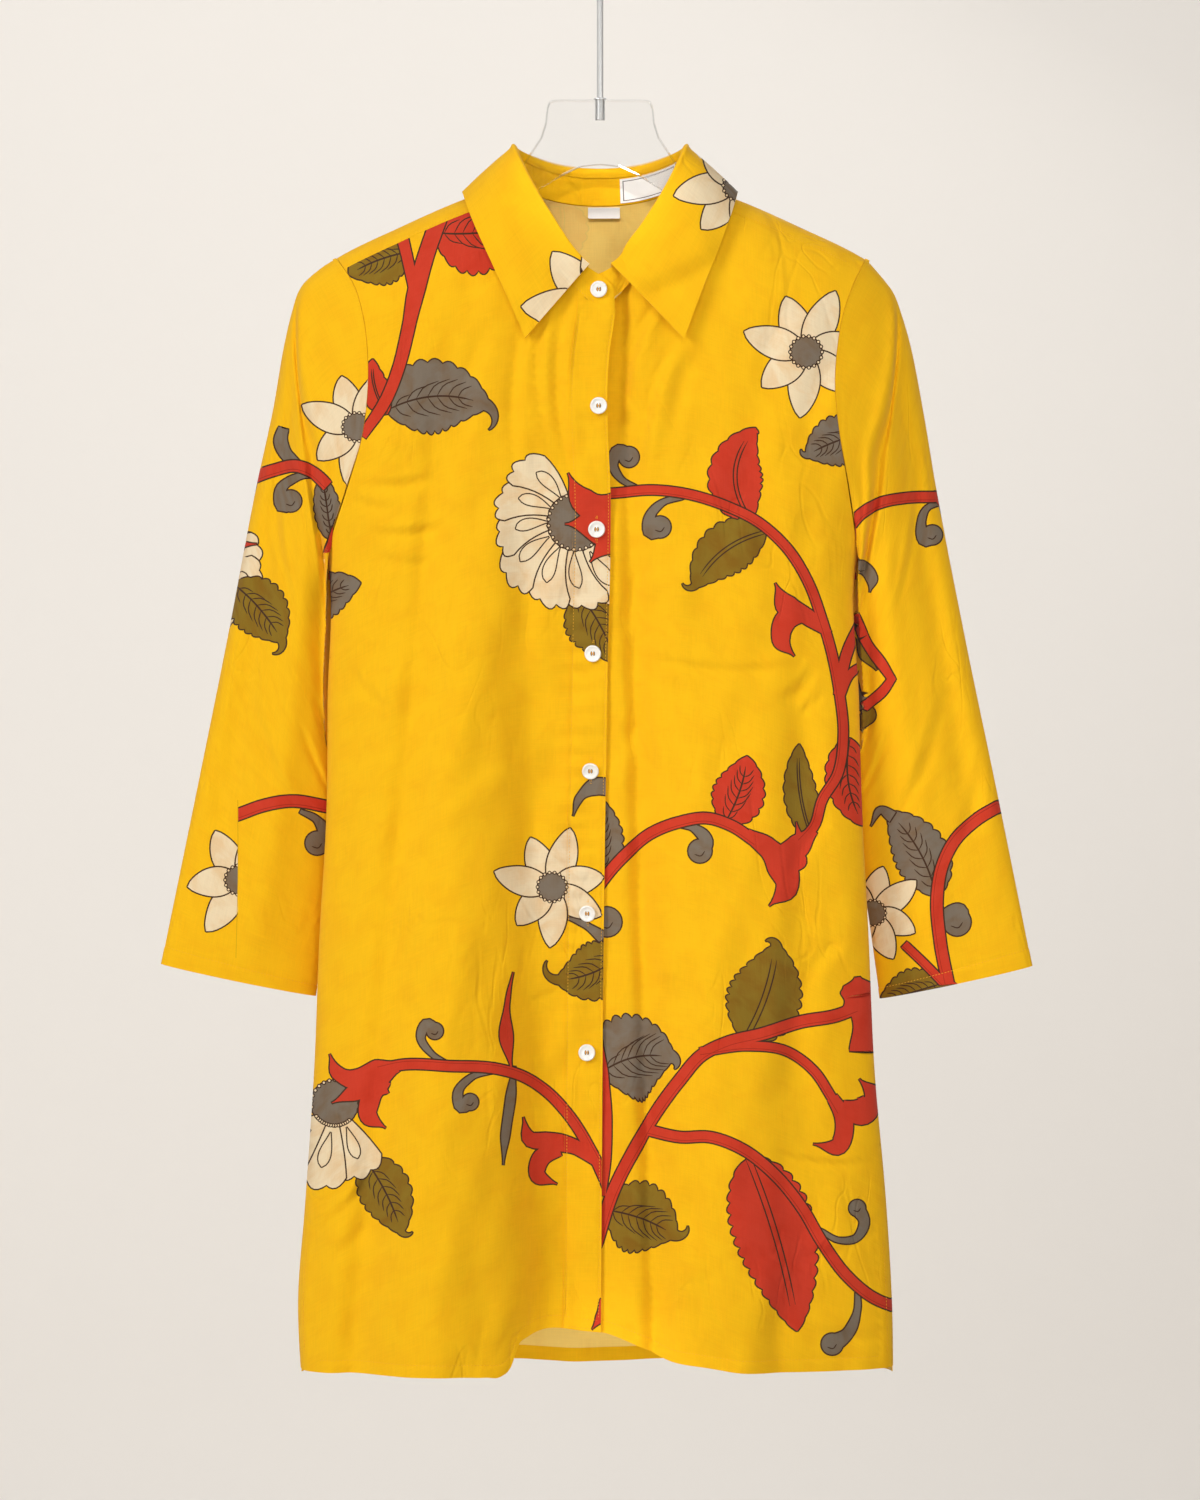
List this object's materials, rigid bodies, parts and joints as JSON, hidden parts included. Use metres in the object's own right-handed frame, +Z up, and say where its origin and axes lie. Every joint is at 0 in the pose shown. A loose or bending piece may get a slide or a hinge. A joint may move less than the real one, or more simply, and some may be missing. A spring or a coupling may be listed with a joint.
{
  "type": "kurta tunic on hanger",
  "caption": "Collared, button-front kurta tunic in printed cotton with open side slits, hanging from a clear plate hanger with a steel hook.",
  "frame": {"origin": "inside of the hook's crown, on the wire's middle plane, where a rail carries it", "axes": "+Z up, -Y the side with the buttons, +X the wearer's left"},
  "size_m": [0.6592, 0.12, 1.0865],
  "materials": {
    "printed_cotton": "plain-woven cotton with a printed vine, matt",
    "label_satin": "woven satin, bare",
    "pearl_button": "polished, pearly",
    "clear_acrylic": "clear, polished edges",
    "bright_steel": "bright plated"
  },
  "bodies": {
    "root": {"front_right": "printed_cotton", "front_left": "printed_cotton", "back": "printed_cotton", "yoke": "printed_cotton", "sleeve_right": "printed_cotton", "sleeve_left": "printed_cotton", "collar_stand": "printed_cotton", "collar_leaf": "printed_cotton", "button_band": "printed_cotton", "neck_label": "label_satin", "size_tab": "label_satin", "button_1": "pearl_button", "button_2": "pearl_button", "button_3": "pearl_button", "button_4": "pearl_button", "button_5": "pearl_button", "button_6": "pearl_button", "button_7": "pearl_button", "hanger_plate": "clear_acrylic", "hook": "bright_steel", "ferrule": "bright_steel"}
  },
  "joints": []
}
